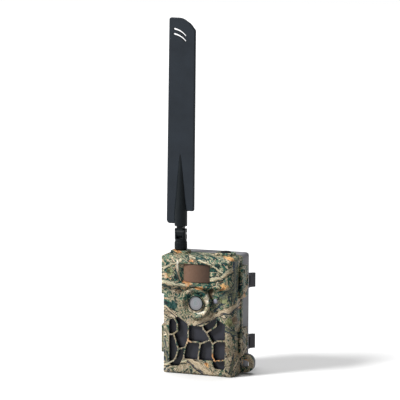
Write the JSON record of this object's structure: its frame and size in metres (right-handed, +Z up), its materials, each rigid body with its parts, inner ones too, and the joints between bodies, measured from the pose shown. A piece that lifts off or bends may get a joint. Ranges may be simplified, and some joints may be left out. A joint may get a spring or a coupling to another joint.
{
  "type": "trail camera",
  "caption": "Clamshell wildlife trail camera with camouflage front, infrared panel, motion sensor, side latches, tree brackets and a folding paddle antenna.",
  "frame": {"origin": "mouth of the quarter-inch tripod thread in the underside of the rear shell", "axes": "+Z up, -Y is the front where the lens looks out, +X is the latch side"},
  "size_m": [0.1194, 0.0805, 0.4464],
  "materials": {
    "camo_shell": "satin, printed camouflage film",
    "grey_plastic": "fine moulded texture",
    "black_plastic": "fine moulded texture",
    "antenna_blade": "fine spark-eroded grain",
    "black_rubber": "matte",
    "silicone": "soft",
    "steel": "zinc plated",
    "nickel": "nickel plated",
    "brass": "turned",
    "tinned_steel": "stamped",
    "pcb": "solder mask",
    "clear_glass": "polished",
    "pir_plastic": "translucent brown polyethylene",
    "ir_filter": "dark tinted acrylic",
    "led_epoxy": "clear epoxy",
    "diffuser": "frosted",
    "panel_plastic": "fine moulded texture",
    "screen_glass": "polished",
    "key_rubber": "soft touch",
    "card_plastic": "fine",
    "sim_plastic": "fine",
    "cell_wrap": "shrink sleeve"
  },
  "bodies": {
    "rear_case": {"rear_shell": "grey_plastic", "case_gasket": "silicone", "tripod_insert": "brass", "strap_bracket_upper": "grey_plastic", "strap_bracket_lower": "grey_plastic", "bracket_screws": "steel", "hinge_pins": "steel", "battery_tray": "black_plastic", "battery_cells": "cell_wrap", "battery_springs": "nickel", "battery_contacts": "nickel"},
    "front_case": {"front_shell": "camo_shell", "lens_bezel": "camo_shell", "lens_trim_ring": "black_plastic", "lens_window": "clear_glass", "lens_barrel": "black_plastic", "lens_element": "clear_glass", "lens_holder": "black_plastic", "image_sensor": "pcb", "pir_lens": "pir_plastic", "pir_sensor": "nickel", "pir_board": "pcb", "light_sensor_window": "diffuser", "microphone": "nickel", "ir_window": "ir_filter", "ir_leds": "led_epoxy", "ir_led_board": "pcb", "main_board": "pcb", "processor": "black_plastic", "modem_shield": "tinned_steel", "keypad_board": "pcb", "inner_cover": "panel_plastic", "lcd_screen": "screen_glass", "sd_socket": "tinned_steel", "sim_socket": "tinned_steel", "cover_screws": "steel", "board_screws": "steel", "dc_socket": "black_plastic", "latch_pins": "steel", "sma_connector": "brass", "spare_port_cap": "black_rubber"},
    "latch_upper": {"latch_upper": "camo_shell"},
    "latch_lower": {"latch_lower": "camo_shell"},
    "mode_switch": {"mode_switch": "black_plastic"},
    "sd_card": {"sd_card": "card_plastic"},
    "sim_card": {"sim_card": "sim_plastic"},
    "ir_cut_filter": {"ir_cut_filter": "clear_glass"},
    "dc_bung": {"dc_bung": "black_rubber"},
    "antenna_nut": {"antenna_nut": "black_plastic"},
    "antenna_swivel": {"antenna_swivel": "black_plastic", "knuckle_pin": "steel"},
    "antenna_blade": {"antenna_stem": "black_plastic", "antenna_paddle": "antenna_blade"},
    "key_up": {"key_up": "key_rubber"},
    "key_down": {"key_down": "key_rubber"},
    "key_left": {"key_left": "key_rubber"},
    "key_right": {"key_right": "key_rubber"},
    "key_ok": {"key_ok": "key_rubber"},
    "key_menu": {"key_menu": "key_rubber"},
    "key_test": {"key_test": "key_rubber"}
  },
  "joints": [
    {"name": "case_hinge", "type": "hinge", "parent": "rear_case", "child": "front_case", "pos_m": [-0.052, -0.01, 0.0795], "axis": [0, 0, -1], "range_deg": [0, 120]},
    {"name": "latch_upper_hinge", "type": "hinge", "parent": "front_case", "child": "latch_upper", "pos_m": [0.052, -0.025, 0.118], "axis": [0, 0, -1], "range_deg": [0, 100]},
    {"name": "latch_lower_hinge", "type": "hinge", "parent": "front_case", "child": "latch_lower", "pos_m": [0.052, -0.025, 0.0425], "axis": [0, 0, -1], "range_deg": [0, 100]},
    {"name": "antenna_nut_turn", "type": "hinge", "parent": "front_case", "child": "antenna_nut", "pos_m": [-0.03, -0.022, 0.16], "axis": [0, 0, 1], "continuous": true},
    {"name": "antenna_turn", "type": "hinge", "parent": "front_case", "child": "antenna_swivel", "pos_m": [-0.03, -0.022, 0.168], "axis": [0, 0, 1], "continuous": true},
    {"name": "antenna_fold", "type": "hinge", "parent": "antenna_swivel", "child": "antenna_blade", "pos_m": [-0.03, -0.022, 0.176], "axis": [-1, 0, 0], "range_deg": [0, 90]},
    {"name": "key_up_press", "type": "slide", "parent": "front_case", "child": "key_up", "axis": [0, -1, 0], "range_m": [0, 0.0006], "stiffness_N_per_m": 800},
    {"name": "key_down_press", "type": "slide", "parent": "front_case", "child": "key_down", "axis": [0, -1, 0], "range_m": [0, 0.0006], "stiffness_N_per_m": 800},
    {"name": "key_left_press", "type": "slide", "parent": "front_case", "child": "key_left", "axis": [0, -1, 0], "range_m": [0, 0.0006], "stiffness_N_per_m": 800},
    {"name": "key_right_press", "type": "slide", "parent": "front_case", "child": "key_right", "axis": [0, -1, 0], "range_m": [0, 0.0006], "stiffness_N_per_m": 800},
    {"name": "key_ok_press", "type": "slide", "parent": "front_case", "child": "key_ok", "axis": [0, -1, 0], "range_m": [0, 0.0006], "stiffness_N_per_m": 800},
    {"name": "key_menu_press", "type": "slide", "parent": "front_case", "child": "key_menu", "axis": [0, -1, 0], "range_m": [0, 0.0006], "stiffness_N_per_m": 800},
    {"name": "key_test_press", "type": "slide", "parent": "front_case", "child": "key_test", "axis": [0, -1, 0], "range_m": [0, 0.0006], "stiffness_N_per_m": 800},
    {"name": "mode_switch_slide", "type": "slide", "parent": "front_case", "child": "mode_switch", "axis": [1, 0, 0], "range_m": [0, 0.008]},
    {"name": "sd_card_slide", "type": "slide", "parent": "front_case", "child": "sd_card", "axis": [0, 0, -1], "range_m": [0, 0.01]},
    {"name": "sim_card_slide", "type": "slide", "parent": "front_case", "child": "sim_card", "axis": [0, 0, -1], "range_m": [0, 0.008]},
    {"name": "ir_cut_filter_slide", "type": "slide", "parent": "front_case", "child": "ir_cut_filter", "axis": [1, 0, 0], "range_m": [0, 0.0064]},
    {"name": "dc_bung_pull", "type": "slide", "parent": "front_case", "child": "dc_bung", "axis": [0, 0, -1], "range_m": [0, 0.008]}
  ]
}
